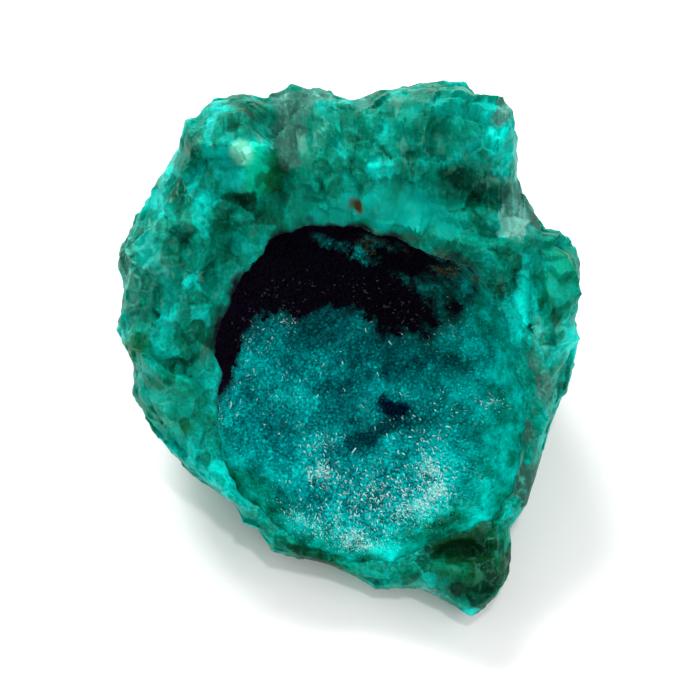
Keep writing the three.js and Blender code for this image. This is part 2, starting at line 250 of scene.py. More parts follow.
# %% The hollow's wall
FLOOR_OUT = -9
SWELLS = [  # across, up, radius, rise
    (-1, 8.5, 7.5, -3.2), (-11, 6, 3.2, -1.6), (3.6, -1.6, 1.7, -1), (1, -5, 2.4, -0.7),
    (-4, -8, 3.4, 0.9), (7.5, -8.5, 3.6, 0.9), (-6.5, 0.5, 3, 0.8), (9, 2.5, 3, 0.7),
]


def hollow_point(share, angle):
    """The visible wall at a share of the way from the floor's middle (0) to the mouth (1).

    Radius follows the sine of the arc and the rise its cosine, both scaled to meet the mouth.
    """
    turn = np.radians(around(WALL_TURN, angle))
    along = share * turn
    radius = mouth_reach(angle) * np.sin(along) / np.sin(turn)
    rise = (1 - np.cos(along)) / (1 - np.cos(turn))
    across, up = radius * np.cos(angle), radius * np.sin(angle)
    out = mix(FLOOR_OUT, around(MOUTH_OUT, angle), rise)
    for x, y, size, height in SWELLS:
        away = np.hypot(across - x, up - y) / size
        out = out + height * np.exp(-(away**2)) * (1 - share**4)
    return np.stack([across, up, out], -1)


def unit(vectors):
    """Vectors scaled to length one."""
    return vectors / np.maximum(np.linalg.norm(vectors, axis=-1, keepdims=True), 1e-12)


NORMAL_STEP = 0.01


def wall_cross(share, angle, step):
    """The cross product of small steps outwards and round: into the hollow, as long as the area."""
    outwards = hollow_point(share + step, angle) - hollow_point(share - step, angle)
    onwards = hollow_point(share, angle + step) - hollow_point(share, angle - step)
    return np.cross(outwards, onwards)


def hollow_normal(share, angle):
    """The way into the open hollow, at right angles to its wall."""
    return unit(wall_cross(np.maximum(share, NORMAL_STEP), angle, NORMAL_STEP))


upper_wall = hollow_point(np.linspace(0, 1, 5), np.full(5, TURN / 4))
print("the upper wall's levels from floor to mouth, in mm:", upper_wall[:, 2].round(1))


# %% [markdown]
# ## Soft ovals
# What differs from place to place is given as soft ovals. A cloud bends them, so that no edge is
# a clean curve.

# %% Ovals
OVAL_WARP = 0.9
WARP_SIZE = 2.6


def ovals(points, places, edge=2, warp=OVAL_WARP):
    """Sum of the values of ovals round each point: each falls off as exp(-d^(2 edge))."""
    bent = points + warp * np.stack([cloud(points, WARP_SIZE, 200 + 10 * k) for k in range(3)], -1)
    total = np.zeros(len(points))
    for across, up, wide, high, turn, value in places:
        c, s = math.cos(math.radians(turn)), math.sin(math.radians(turn))
        x, y = bent[:, 0] - across, bent[:, 1] - up
        away = ((x * c + y * s) / wide) ** 2 + ((y * c - x * s) / high) ** 2
        total += value * np.exp(-(away**edge))
    return total


print("an oval's value at its middle:", ovals(np.zeros((1, 3)), [(0, 0, 1, 1, 0, 1)], warp=0))


# %% [markdown]
# ## Broken faces
# Glassy stone breaks into flat faces that meet at sharp edges. Here space is cut into cells round
# scattered seeds. Inside a cell the surface is pushed out or in by a plane of the cell's own, so
# it tips a little and steps at the cell's edge. Three sizes of cell give slabs, chips and nicks.

# %% Broken faces
EDGE_WIDTH = 0.24
SLABS = dict(size=8, tilt=0.34, step=0.6, seam=0.7, salt=1)
CHIPS = dict(size=3.4, tilt=0.32, step=0.25, seam=0.25, salt=2)
NICKS = dict(size=1.5, tilt=0.27, step=0.08, seam=0.16, salt=3)
CALM = [  # across, up, half width, half height, turn, strength: where the stone broke smoothly
    (-1, 17.6, 6.5, 2.4, 0, 0.9), (7, 16.8, 4.5, 2.2, -35, 0.9), (15.6, -2.5, 2.6, 8, 0, 0.8),
    (-11.5, -9.8, 5.5, 2, -42, 0.3), (20, 11.5, 2.6, 3.4, 0, 0.6), (-11.8, 22, 2.6, 3, 0, 0.7),
    (8, 26.5, 5, 3, 0, 0.5), (3, -18, 7, 1.6, -10, 0.6), (-6.6, 26, 2.4, 4, 0, 0.9),
]


def nearest_cells(points, size, salt):
    """The nearest and next seed to each point: how far each is, the way from it, and its cell."""
    home = np.floor(points / size)
    first = second = np.full((len(points), 7), 1e9)
    for n in range(27):
        cell = home + (n % 3 - 1, n // 3 % 3 - 1, n // 9 - 1)
        i, j, k = cell.T
        seed = np.stack([chance(i, j, k, salt + 10 * (axis + 1)) for axis in range(3)], -1)
        away = points - (cell + seed) * size
        far = np.linalg.norm(away, axis=1)
        found = np.column_stack([far, away, cell])
        nearest, nearer = (far < first[:, 0])[:, None], (far < second[:, 0])[:, None]
        second = np.where(nearest, first, np.where(nearer, found, second))
        first = np.where(nearest, found, first)
    return [dict(far=found[:, 0], away=found[:, 1:4], cell=found[:, 4:]) for found in (first, second)]


def broken_height(points, size, tilt, step, seam, salt):
    """Height of the broken faces: each cell's own plane, mixed over a narrow seam between two."""
    first, second = nearest_cells(points, size, salt)
    heights = []
    for found in (first, second):
        i, j, k = found["cell"].T
        height = step * (2 * chance(i, j, k, salt + 50) - 1)
        for axis in range(3):
            tip = 2 * chance(i, j, k, salt + 60 + axis) - 1
            height = height + tilt * found["away"][:, axis] * tip
        heights.append(height)
    share = 0.5 - 0.5 * ease((second["far"] - first["far"]) / seam)
    return mix(heights[0], heights[1], share)


def cells_of(points, faces):
    """Each point's seed, a number from 0 to 1 shared by its cell, and how close the edge is.

    The last runs from 0 to 1 over EDGE_WIDTH, as the second seed gets as near as the first.
    """
    first, second = nearest_cells(points, faces["size"], faces["salt"])
    i, j, k = first["cell"].T
    edge = ease(1 - (second["far"] - first["far"]) / EDGE_WIDTH)
    return points - first["away"], chance(i, j, k, faces["salt"] + 90), edge


print("slabs, chips and nicks in mm:", [faces["size"] for faces in (SLABS, CHIPS, NICKS)])


# %% [markdown]
# ## The lump
# The outside is one profile carried round the axis: from the mouth over the crest to the outline,
# then down the back. Blocks and pits that can be made out in the photograph are flat-topped bumps
# on the rim, big flat breaks trim the back, and the broken faces push all of it about.

# %% The lump's outside
BREAKS = [  # facing round the hollow, slope away from the face, distance behind the outline
    (14, 26, 6), (62, 46, 4.5), (96, 40, 3.5), (138, 32, 6), (172, 16, 6), (215, 24, 6), (330, 20, 5),
]
BREAK_EASE = 0.2
BACK_EASE = 0.25
FEATURES = [  # across, up, half width, half height, rise
    (-12.4, 23, 4.4, 6, 2.6), (-8.6, 20.3, 1.7, 2.8, -2), (-12.8, 18.4, 1.5, 1.2, -1.4),
    (-6, 25.6, 3.3, 4, -1.6), (2.2, 22.7, 2.1, 1.7, 1.1), (9, 26.3, 5.6, 3.6, 2.2),
    (14, 24.6, 1.6, 3.6, 1.5), (9.6, 20.2, 4.4, 2.2, -2.6), (17.6, 9.5, 0.7, 4.5, -1.8),
    (20, 11, 2.4, 4.6, 1.4), (15.6, 7.6, 1.1, 4.6, 1.2), (10.2, -16.4, 2.6, 1.2, -2.2),
    (12.6, -18.6, 2.6, 2.2, 1.6), (-17.6, 14.5, 3, 4.6, 1.2), (-19.2, 3.2, 3.4, 2.6, 1),
    (-17.6, -2.4, 2.4, 2.8, -0.9), (-11.8, -10.9, 2.4, 0.9, 0.8),
]
CORE_OUT = -6
OUTLINE_CALM = 0.85
CALM_IN_FRONT = 3
CALM_BEHIND = 8
BACK_BREAKING = 0.55  # the broken faces' share of their height on the back, where they would fold
MOUTH_FADE = 2.8
CRUST_THICKNESS = 1.3
CRUST_EDGE = 0.06
SEAM = 0.02


def feature_rise(across, up):
    """Rise of the blocks and pits: each falls off as exp(-d^4), so its top is flat."""
    rise = np.zeros_like(across)
    for x, y, wide, high, height in FEATURES:
        away = ((across - x) / wide) ** 2 + ((up - y) / high) ** 2
        rise += height * np.exp(-(away**2))
    return rise


def cut_back(points, share):
    """Moves what stands past a flat break straight back onto its plane, by a share of the way."""
    for facing, slope, behind in BREAKS:
        level, away = math.cos(math.radians(slope)), math.sin(math.radians(slope))
        angle = math.radians(facing)
        normal = np.array([level * math.cos(angle), level * math.sin(angle), -away])
        edge = level * float(reach(OUTLINE, np.array([angle]))[0]) + away * behind
        excess = np.maximum(points @ normal - edge, 0)
        points = points - (excess * share)[:, None] * normal
    return points


def outside_point(along, angle):
    """The outside, from the mouth (0) over the crest to the outline (1) and the back's middle (2).

    The rim rises as a sine to the crest and falls as a cosine to the outline. The back is an
    oval's quarter: its radius follows a power of the cosine, and its depth the sine. Gives the
    points before and after the broken faces push them.
    """
    outline = reach(OUTLINE, angle)
    mouth = mouth_reach(angle) + SEAM
    crest = mix(mouth, outline, CREST_SHARE)
    mouth_out, crest_out = around(MOUTH_OUT, angle), around(CREST_OUT, angle)
    outline_out = around(OUTLINE_OUT, angle)
    inner = np.clip(along / CREST_SHARE, 0, 1)
    outer = np.clip((along - CREST_SHARE) / (1 - CREST_SHARE), 0, 1) * math.pi / 2
    back = np.clip(along - 1, 0, 1) * math.pi / 2
    cosine = np.maximum(np.cos(back), 0)
    on_back, on_inner = along >= 1, along < CREST_SHARE
    radius = np.where(on_inner, mix(mouth, crest, inner), mix(crest, outline, np.sin(outer)))
    radius = np.where(on_back, outline * cosine**BACK_ROUNDNESS, radius)
    out = np.where(on_inner, mix(mouth_out, crest_out, np.sin(inner * math.pi / 2)),
                   mix(outline_out, crest_out, np.cos(outer)))
    out = np.where(on_back, mix(outline_out, BACK_OUT, np.sin(back)), out)
    features = np.where(on_inner, ease(inner * 3), np.where(on_back, cosine**4, 1))
    c, s = np.cos(angle), np.sin(angle)
    out = out + features * feature_rise(radius * c, radius * s)
    points = np.stack([radius * c, radius * s, out], -1)
    points = cut_back(points, ease((along - 1) / BREAK_EASE))
    core = mix(mouth, outline, 0.5)
    push = unit(np.stack([radius - core, out - CORE_OUT], -1))
    calm_reach = np.where(out > outline_out, CALM_IN_FRONT, CALM_BEHIND)
    calm = 1 - OUTLINE_CALM * np.exp(-(((out - outline_out) / calm_reach) ** 2))
    back_fade = mix(1, BACK_BREAKING, ease((along - 1) / BACK_EASE))
    fade = np.where(on_back, back_fade, ease((radius - mouth) / MOUTH_FADE))
    rugged = np.clip(1.1 - ovals(points, CALM, 1), 0.1, 1)
    height = (broken_height(points, **SLABS) + broken_height(points, **CHIPS)) * calm
    push = push * ((height + rugged * broken_height(points, **NICKS)) * fade)[:, None]
    return points, points + np.stack([push[:, 0] * c, push[:, 0] * s, push[:, 1]], -1)


def behind_hollow(share, angle, clearance):
    """The wall behind the druse: the visible one set back by a depth that thins at the mouth."""
    depth = mix(CRUST_THICKNESS, CRUST_EDGE, share**4) + clearance
    return hollow_point(share, angle) - hollow_normal(share, angle) * depth[:, None]


crest_points = outside_point(np.full(12, CREST_SHARE), np.arange(12) / 12 * TURN)[1]
print("the crest's levels round the hollow, in mm:", crest_points[:, 2].round(1))


# %% [markdown]
# ## From arrays to meshes
# A ring of points at each station, joined to the next ring by quads, makes the whole lump one
# grid of two parameters. `foreach_set` hands such arrays to Blender in one go. A number kept for
# each point lets a material know where it is on the stone.

# %% Mesh helpers
def new_piece(name, points, faces, node):
    """A mesh object from part-frame points and a list of arrays of equally sided faces."""
    mesh = bpy.data.meshes.new(name)
    loops = np.concatenate([f.ravel() for f in faces])
    sides = np.concatenate([np.full(len(f), f.shape[1]) for f in faces])
    mesh.vertices.add(len(points))
    mesh.vertices.foreach_set("co", points.astype(np.float32).ravel())
    mesh.loops.add(len(loops))
    mesh.loops.foreach_set("vertex_index", loops.astype(np.int32))
    mesh.polygons.add(len(sides))
    mesh.polygons.foreach_set("loop_start", (np.cumsum(sides) - sides).astype(np.int32))
    mesh.update(calc_edges=True)
    piece = bpy.data.objects.new(name, mesh)
    bpy.context.collection.objects.link(piece)
    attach(piece, ROOT)
    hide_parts(node)
    print(name, "has", int((sides - 2).sum()), "triangles")
    return piece


LUMP_SHARP = 26
GROUND_SHARP = 50


def smooth_but_sharp(piece, angle):
    """Shades smoothly across an edge, unless its faces meet at more than an angle in degrees."""
    piece.data.polygons.foreach_set("use_smooth", np.ones(len(piece.data.polygons), bool))
    piece.data.set_sharp_from_angle(angle=math.radians(angle))


def keep_numbers(piece, **numbers):
    """Stores numbers a point on the mesh under their names, for the material to read."""
    for name, values in numbers.items():
        attribute = piece.data.attributes.new(name, "FLOAT", "POINT")
        attribute.data.foreach_set("value", values.astype(np.float32).ravel())


def ring_faces(count, size, first, last, start):
    """Quads between rings, then fans to a last point and to a first one, if there is one.

    Point n of a ring has the number start + ring * size + n, and joins the next n and ring.
    """
    n = np.arange(size)
    following = (n + 1) % size
    here = (start + np.arange(count - 1) * size)[:, None]
    quads = np.stack([here + n, here + size + n, here + size + following, here + following], -1)
    faces = [quads.reshape(-1, 4)]
    end = start + (count - 1) * size
    if first is not None:
        faces.append(np.stack([np.full_like(n, first), start + n, start + following], -1))
    faces.append(np.stack([np.full_like(n, last), end + following, end + n], -1))
    return faces


# %% [markdown]
# ## Where the colours lie
# The stone is bright turquoise where light comes through thin edges, bottle green in clefts and
# pale grey where its rind is bruised. Each list gives ovals: middle, half width, half height,
# turn in degrees and strength.

# %% Places on the lump
TONES = [
    (-11.6, 22.4, 2.7, 3.3, 0, 0.2), (-9.6, 23, 1.2, 1.4, 0, 0.2), (-15.3, 18.9, 1.4, 1, 0, 0.32),
    (-8.8, 21.3, 1, 1.9, -15, -0.5), (-11.8, 18.6, 0.9, 0.7, 0, -0.6), (-11.5, 16.6, 3.6, 1.3, 0, -0.2),
    (-11.1, 26.5, 2, 1.4, 0, -0.14), (-16.5, 24.5, 1.1, 3.6, -20, -0.2), (-19.5, 20, 1, 2.2, -35, 0.25),
    (-17.8, 19.6, 0.6, 0.7, 0, -0.3), (-16.8, 10.4, 0.55, 0.9, 0, 0.55),
    (-15.7, 7.2, 0.8, 0.8, 0, 0.25), (-11.9, 15.4, 0.8, 0.5, 0, 0.2), (-22.4, 4.5, 1, 1.1, 0, -0.3),
    (-18.5, 9, 5, 7, 0, -0.12), (-10.4, 28.2, 2, 1.5, 0, -0.22), (-6.6, 25.5, 2.4, 4, 0, -0.2),
    (2.3, 21.9, 1.8, 1.3, 0, 0.5), (2.5, 24.8, 2.5, 1, 0, -0.12), (1.7, 28, 1.3, 1.8, 0, -0.28),
    (7.8, 25.2, 2.4, 2.1, -15, -0.22), (13.6, 24.4, 1.2, 2.6, 20, 0.12),
    (15.2, 17.6, 1.6, 3.2, 10, 0.36), (11, 20.3, 4.4, 2.5, -20, -0.37),
    (14.4, 11.6, 1.3, 2.4, 0, -0.25), (15.9, 7.4, 1.1, 4.4, -8, 0.34), (21.3, 12.1, 0.8, 1.6, 0, -0.2),
    (18.9, 7.8, 0.8, 2.6, 15, -0.5), (20.8, 5.6, 1, 2.4, 0, 0.15), (0, 17.7, 7, 1.9, -5, 0.12),
    (7, 17, 4, 1.6, -35, 0.12), (-15.5, 0.5, 1.8, 3.6, 0, 0.1), (-13.5, -7.8, 1.5, 0.8, -20, 0.3),
    (-9.8, -11.5, 4, 1, -42, 0.12), (-13, -8.5, 6, 2.4, -42, 0.12), (-5.6, -16.3, 4, 1.3, -22, -0.4),
    (1.5, -19, 2.2, 0.8, -15, 0.12), (8, -15.9, 2, 0.7, 25, -0.5), (10.6, -15.3, 1.7, 1, 0, -0.55),
    (6.8, -17.4, 2.6, 0.45, 35, -0.35), (12.5, -17.3, 0.5, 1.2, 20, -0.4),
    (13.5, -18.8, 0.5, 0.8, 0, -0.4), (9.9, -20.2, 1.6, 0.7, -10, -0.5),
    (10.6, -18.3, 1.6, 0.5, 20, 0.15), (10.9, -22.4, 0.9, 0.5, -20, 0.4), (11.5, -18, 4, 4, 0, -0.42),
    (16.9, -4.3, 0.6, 0.9, 0, -0.2), (16.6, -10.4, 1, 3, 20, -0.3), (-18.6, 1.6, 2.4, 1.2, 20, -0.16),
    (-17.2, -2.6, 1.6, 1.4, 0, -0.16), (-19.6, -0.6, 2.2, 1, -30, 0.12), (-14.4, 3.5, 1, 2, 0, -0.14),
    (-20.6, 14, 1.4, 2, -20, 0.16),
]
PALE = [
    (-3.9, 26.6, 1, 1.5, -30, -1.2), (-6.9, 26.3, 1.8, 3.8, 0, 0.9), (-5.4, 29.2, 3.6, 1.2, 0, 1.2),
    (-6.3, 22.4, 1.6, 0.9, 0, 0.8), (0.2, 28.6, 1.6, 1.2, 0, 0.7), (4, 28.6, 0.4, 2, 0, 0.6),
    (-17.3, 25.6, 0.6, 1.4, 0, 0.8), (14, 27.6, 0.9, 1.8, -10, 0.8), (15.2, 17.5, 1.7, 3.4, 10, 1.15),
    (17.7, 17.2, 1.1, 1, 0, 1), (22, 11.8, 0.5, 2, 0, 0.9), (-23.8, 12.6, 0.6, 1.8, 0, 0.8),
    (18.4, 0.8, 1.4, 2.6, 20, 0.8), (17.6, 3.4, 0.5, 1.8, 0, 0.6), (17, -3.5, 0.5, 3, 10, 0.7),
    (16.8, -9.6, 1.2, 4, 20, 1), (6.8, -20.2, 1.6, 0.6, -30, 0.8), (12.4, -20.6, 1.1, 1, 0, 0.6),
    (-10.2, -14.3, 0.8, 0.8, 0, 0.9),
]
OLIVE = [
    (-8.8, 21.3, 1.4, 2.2, -15, 0.8), (-22.2, 4.2, 1.4, 1.4, 0, 0.9), (-19, -1.5, 3.4, 3.2, 0, 0.4),
    (-17, -3.8, 1.2, 1, 0, 0.6), (11.5, -16.5, 3.6, 4, 0, 0.7), (19.5, 12, 2.6, 3, 0, 0.3),
    (-4, -17, 6, 1.2, -20, 0.4), (1.5, 15.6, 3.6, 0.7, -8, 0.7), (18.9, 7.4, 0.8, 2.6, 15, 0.5),
    (17.6, 17.2, 1.1, 1, 0, 0.7),
]
RUST = [
    (-0.7, 18.4, 0.7, 0.5, 0, 0.9), (-0.3, 17.8, 0.4, 0.6, 0, 1), (1.6, 15.3, 3.4, 0.6, -8, 0.9),
    (9, 12.6, 2.2, 0.7, -15, 1.2),
]
MINT = [(-11.6, 23.3, 1.1, 1.2, 0, 1)]
LEAF = [
    (-10.2, 22.5, 1.4, 1.7, -20, 0.9), (-10.4, 20, 1, 0.9, 0, 0.7), (20.4, 12.6, 1.8, 2.4, 0, 0.2),
]
GLINTS = [
    (-23, 10.5, 1.6, 5.5, 0, 0.9), (-20, 12.5, 2, 4, 0, 0.4), (-3, 27.3, 0.8, 2.8, -30, 0.8),
    (15.2, 17.5, 1.8, 3.8, 10, 0.6), (12, 21.6, 2.8, 1.3, -25, 0.3), (12.3, -16, 2.8, 0.7, 30, 0.35),
    (16.8, -9.6, 1.2, 4, 20, 0.7), (-20.5, -1.5, 3, 1.6, -40, 0.5), (13.5, -18.5, 1.2, 2, 20, 0.15),
    (6.8, -20.2, 2, 0.7, -25, 0.8), (19.5, 4.5, 1.6, 2.4, 20, 0.6), (-9, 24.8, 1.4, 1, -40, 0.6),
]
# Painted shade: how far the cave's black reaches onto the lump's lip, round the mouth.
CAVE_SHADE_ON_LIP = [0, 0.2, 0.8, 1, 1, 1, 0.8, 0, 0, 0, 0, 0]  # the cave's black on its lip, round the mouth
FLECKED = [
    (-16, 23.5, 2.6, 4, -10, 0.9), (-19.5, 18, 2, 4, -35, 0.8), (-19.5, 12, 3, 4, 0, 0.6),
    (-9.3, 24.6, 1.6, 1, -40, 0.8), (-16, 8, 4, 4, 0, 0.35), (-20.5, -1.5, 3, 2, -40, 0.6),
    (3.6, 27.6, 1, 3, 0, 0.6), (5.4, 24, 3, 2, 0, 0.4), (12, 22, 3, 1.6, -25, 0.6),
    (15.4, 17.5, 2, 4, 10, 0.9), (18.5, 5.5, 1.6, 3, 15, 0.6), (6.8, -20.2, 2, 0.7, -25, 0.8),
    (17, -8, 1.5, 5, 15, 0.5), (-6.5, 26, 2, 4, 0, 0.4),
]
SUGAR_REACH = 1.6
FRONT_OUT = -9
FRONT_REACH = 5
FACETED = 0.65
print(len(TONES), "ovals of tone on the lump,", len(PALE), "of pale rind,", len(GLINTS), "of glints")

# %% Places in the druse
CAVE_ACROSS = [-16, -14.5, -13, -12.2, -10.5, -6, -3, 0, 3, 7, 9.5, 11.5, 14]
CAVE_UP = [3, -1.5, 0.5, 5, 7.5, 7.2, 8.4, 8, 5.2, 4.5, 6.5, 9, 14]
CAVE_GAPS = [
    (2, 15, 2.4, 0.6, -10, 0.4), (-1.6, 14.7, 3.2, 0.6, -22, 0.6), (0, 13.7, 0.9, 0.5, -40, 0.4),
    (7.5, 10.5, 4, 1, -15, 0.35),
]
DRUSE_TONES = [
    (-9, 0, 4, 4, 0, 0.1), (-6, -3, 5, 3, 0, 0.06), (9, -10, 5, 4, 0, 0.15), (13.5, -3, 3, 7, 0, 0.16),
    (-2, -14, 6, 3, 0, 0.12), (6, 3, 6, 2, 0, -0.22), (-3, 5.5, 6, 1.8, 0, -0.26),
    (0.6, -4.8, 2.2, 1.2, 10, -0.55), (3, -3.6, 1.8, 0.8, 20, -0.6), (-0.2, -3, 0.8, 0.6, 0, -0.5),
    (8, -14.2, 3.6, 1.6, 20, -0.35), (-4, -3, 6, 1, 12, -0.1), (-9, -5, 2.4, 2, 0, -0.12),
]
CAVE_RUST = [
    (2, 14.6, 2.4, 0.7, -10, 1.4), (8.9, 12.2, 1.6, 0.7, -10, 1.7), (11.2, 11.2, 1, 0.4, -20, 0.9),
]
DRUSE_GREENS = [
    (9, 9, 5, 5, 0, 0.7), (13, -5, 5, 10, 0, 0.6), (8, -14, 5, 2, 20, 0.6),
    (-10, -9.5, 3, 2.4, -40, 0.5),
]
SOFT_SIDES = [1, 1, 0.6, 0, 0, 0, 0.5, 0.9, 0.9, 0.9, 1, 1]
SPECKS = [
    (2.7, -1.3, 0.9, 0.9, 0, 1), (3.9, -2, 1.2, 0.9, 0, 1.1), (1, 1.4, 0.8, 0.6, 0, 0.7),
    (2.7, 1.1, 0.5, 0.8, 0, 0.6), (0.8, -4.9, 1, 0.6, 0, 0.35),
]
# Places of painted highlights on the druse: white sparkle laid on the crystals.
SPARKLE_PLACES = [
    (-3.9, -8.2, 1.5, 1, -30, 1), (-4, -5.3, 1.7, 0.8, 15, 0.5), (-5.8, -13.2, 2, 0.9, -25, 0.5),
    (-0.1, -15.4, 3.2, 1, -20, 0.75), (7.2, -7.8, 1.2, 1.8, 20, 0.9), (8.2, -10.6, 2, 0.9, 40, 1),
    (5.2, -12.2, 2, 1, 30, 0.6), (3, -10, 4, 2.4, 0, 0.35), (0, -12.5, 6, 3, 0, 0.22),
    (13.6, -1.2, 1, 0.6, 0, 0.7), (7, -4, 4, 2, 0, 0.1), (-8, -1, 5, 3.4, 0, 0.06),
    (-7.4, 6.8, 0.8, 1.8, 0, 0.4), (-10.8, 6, 1.6, 2, 0, 0.3), (6, 5.5, 4, 2, 0, 0.05),
    (-8.5, 9.5, 2, 1.6, 0, 0.3), (-1, 10.5, 4, 1, 0, 0.3), (5, 8, 3, 1, 0, 0.3),
    (-13.6, -1, 1, 2, 0, 0.2),
]
print(len(DRUSE_TONES), "ovals of tone in the druse,", len(SPECKS), "of specks,", len(SPARKLE_PLACES), "of frost")

# %% [markdown]
# ## The lump's grid and colours
# The grid is finest on the rim, which is what faces the viewer. The rings behind the druse close
# the lump, and its underside is cut off flat where the stone rests.

# %% The lump's mesh
ROUND_STEPS = 720
RIM_STEPS = 66
BACK_STEPS = 56
HIDDEN_RINGS = np.array([0.2, 0.4, 0.6, 0.8, 0.93, 1])

angles = np.arange(ROUND_STEPS) / ROUND_STEPS * TURN
hidden = np.stack([behind_hollow(np.full(ROUND_STEPS, s), angles, SEAM) for s in HIDDEN_RINGS])
rim_stations = np.arange(RIM_STEPS) / RIM_STEPS
back_stations = 1 + (np.arange(BACK_STEPS) / BACK_STEPS) ** 1.2
stations = np.concatenate([rim_stations, back_stations])
grid_along, grid_angle = np.meshgrid(stations, angles, indexing="ij")
unbroken, outside = outside_point(grid_along.ravel(), grid_angle.ravel())
middle = behind_hollow(np.zeros(1), np.zeros(1), SEAM)
lump_points = np.concatenate([middle, hidden.reshape(-1, 3), outside, [(0, 0, BACK_OUT)]])
count = len(HIDDEN_RINGS) + RIM_STEPS + BACK_STEPS
placed = to_part(lump_points)
placed[:, 2] = np.maximum(placed[:, 2], 0)
lump_faces = ring_faces(count, ROUND_STEPS, 0, len(placed) - 1, 1)
lump = new_piece("dioptase_lump", placed, lump_faces, LUMP_NODE)
smooth_but_sharp(lump, LUMP_SHARP)

# %% [markdown]
# The colours aren't painted as a picture. Each point of the lump keeps a few numbers, such as its
# tone and how pale its rind is, worked out from the ovals, the broken faces and clouds. The
# material turns them into colour, so the look holds from every side.

# %% The lump's colours
before = np.concatenate([middle, hidden.reshape(-1, 3), unbroken, [(0, 0, BACK_OUT)]])
front = ease((lump_points[:, 2] - FRONT_OUT) / FRONT_REACH)
chip_seed, chip, chip_edge = cells_of(before, CHIPS)
nick_seed, nick, nick_edge = cells_of(before, NICKS)


def by_facet(places, edge=3):
    """Ovals on the front, partly read at each nick's seed, so their edges follow the facets."""
    return front * mix(ovals(lump_points, places, edge), ovals(nick_seed, places, edge), FACETED)


busy = np.clip(1.1 - front * ovals(lump_points, CALM, 1), 0.2, 1)
tone = 0.52 + busy * (0.26 * (chip - 0.5) + 0.2 * (nick - 0.5)) + 0.14 * cloud(lump_points, 5, 300)
tone = tone + by_facet(TONES)
pale = by_facet(PALE, 2) + (1 - front) * 1.3 * ease(cloud(chip_seed, 9, 320) * 2 - 0.3)
lump_angle = np.arctan2(lump_points[:, 1], lump_points[:, 0])
from_mouth = np.hypot(lump_points[:, 0], lump_points[:, 1]) - mouth_reach(lump_angle)
# Painted shade: the lip next to the cave is painted black, raggedly, where the cave's shade falls.
on_lip = ease(0.9 + 1.3 * cloud(lump_points, 1.6, 325) - from_mouth / 0.9)
stain = around(CAVE_SHADE_ON_LIP, lump_angle) * on_lip
broken = np.clip(0.35 + 1.8 * cloud(lump_points, 1.3, 335), 0, 1)
edges = np.maximum(chip_edge, 0.8 * nick_edge) * broken
glint = edges * (0.03 + front * ovals(lump_points, GLINTS, 1))
sugar = front * around(SOFT_SIDES, lump_angle) * np.exp(-np.maximum(from_mouth, 0) / SUGAR_REACH)
keep_numbers(
    lump, sugar=sugar, tone=tone, busy=busy, glint=glint, pale=pale, stain=front * stain,
    olive=by_facet(OLIVE, 2) + 0.4 * (1 - front), leaf=by_facet(LEAF),
    fleck=0.08 + front * ovals(lump_points, FLECKED),
    rust=front * ovals(lump_points, RUST), mint=front * ovals(lump_points, MINT, 4, 0.2),
)
print("the lump's tones run from", round(float(tone.min()), 2), "to", round(float(tone.max()), 2))

# %% [markdown]
# ## The druse's ground
# The crystals grow from a thin crust that lines the hollow. It could be a disc of rings, but that
# would crowd its points in the middle, so its front is a square grid bent onto the round hollow.
# Its back lies against the lump.

# %% The druse's ground
GROUND_STEPS = 200
GROUND_BUMP = 0.12
UNDERCUT_DRAW = 1.6  # the grid is drawn inwards where the wall is undercut
line = np.linspace(-1, 1, GROUND_STEPS + 1)
a, b = np.meshgrid(line, line)
disc_x, disc_y = (a * np.sqrt(1 - b * b / 2)).ravel(), (b * np.sqrt(1 - a * a / 2)).ravel()
angle = np.arctan2(disc_y, disc_x)
undercut = np.clip((around(WALL_TURN, angle) - 60) / 60, 0, 1)
share = np.minimum(np.hypot(disc_x, disc_y), 1) ** mix(1, UNDERCUT_DRAW, undercut)
ground_front = hollow_point(share, angle)
bump = GROUND_BUMP * cloud(ground_front, 0.9, 330) * (1 - share**8)
ground_front = ground_front + hollow_normal(share, angle) * bump[:, None]
side = GROUND_STEPS + 1
corner = (np.arange(GROUND_STEPS)[:, None] * side + np.arange(GROUND_STEPS)).ravel()
front_quads = np.stack([corner, corner + 1, corner + side + 1, corner + side], -1)
n = np.arange(GROUND_STEPS)
edge = np.concatenate([n, n * side + GROUND_STEPS, side * side - 1 - n, (GROUND_STEPS - n) * side])
back_shares = HIDDEN_RINGS[-2::-1]
back_rings = np.concatenate([behind_hollow(np.full(len(edge), s), angle[edge], 0) for s in back_shares])
back_middle = behind_hollow(np.zeros(1), np.zeros(1), 0)
start = len(ground_front)
inner = start + np.arange(len(edge))
lip = np.stack([edge, inner, np.roll(inner, -1), np.roll(edge, -1)], -1)
back = ring_faces(len(back_shares), len(edge), None, start + len(back_rings), start)
ground_points = np.concatenate([ground_front, back_rings, back_middle])
ground_faces = [front_quads, lip, *back]
ground = new_piece("druse_ground", to_part(ground_points), ground_faces, CRUST_NODE)
smooth_but_sharp(ground, GROUND_SHARP)

# %% [markdown]
# The ground and the crystals take the same numbers: how light the druse is, how dark the cave's
# painted shade is, and where specks, painted highlights, rust and the green edge lie. One function
# gives them for any points.

# %% The druse's colours
SOFT_FROM = 0.62


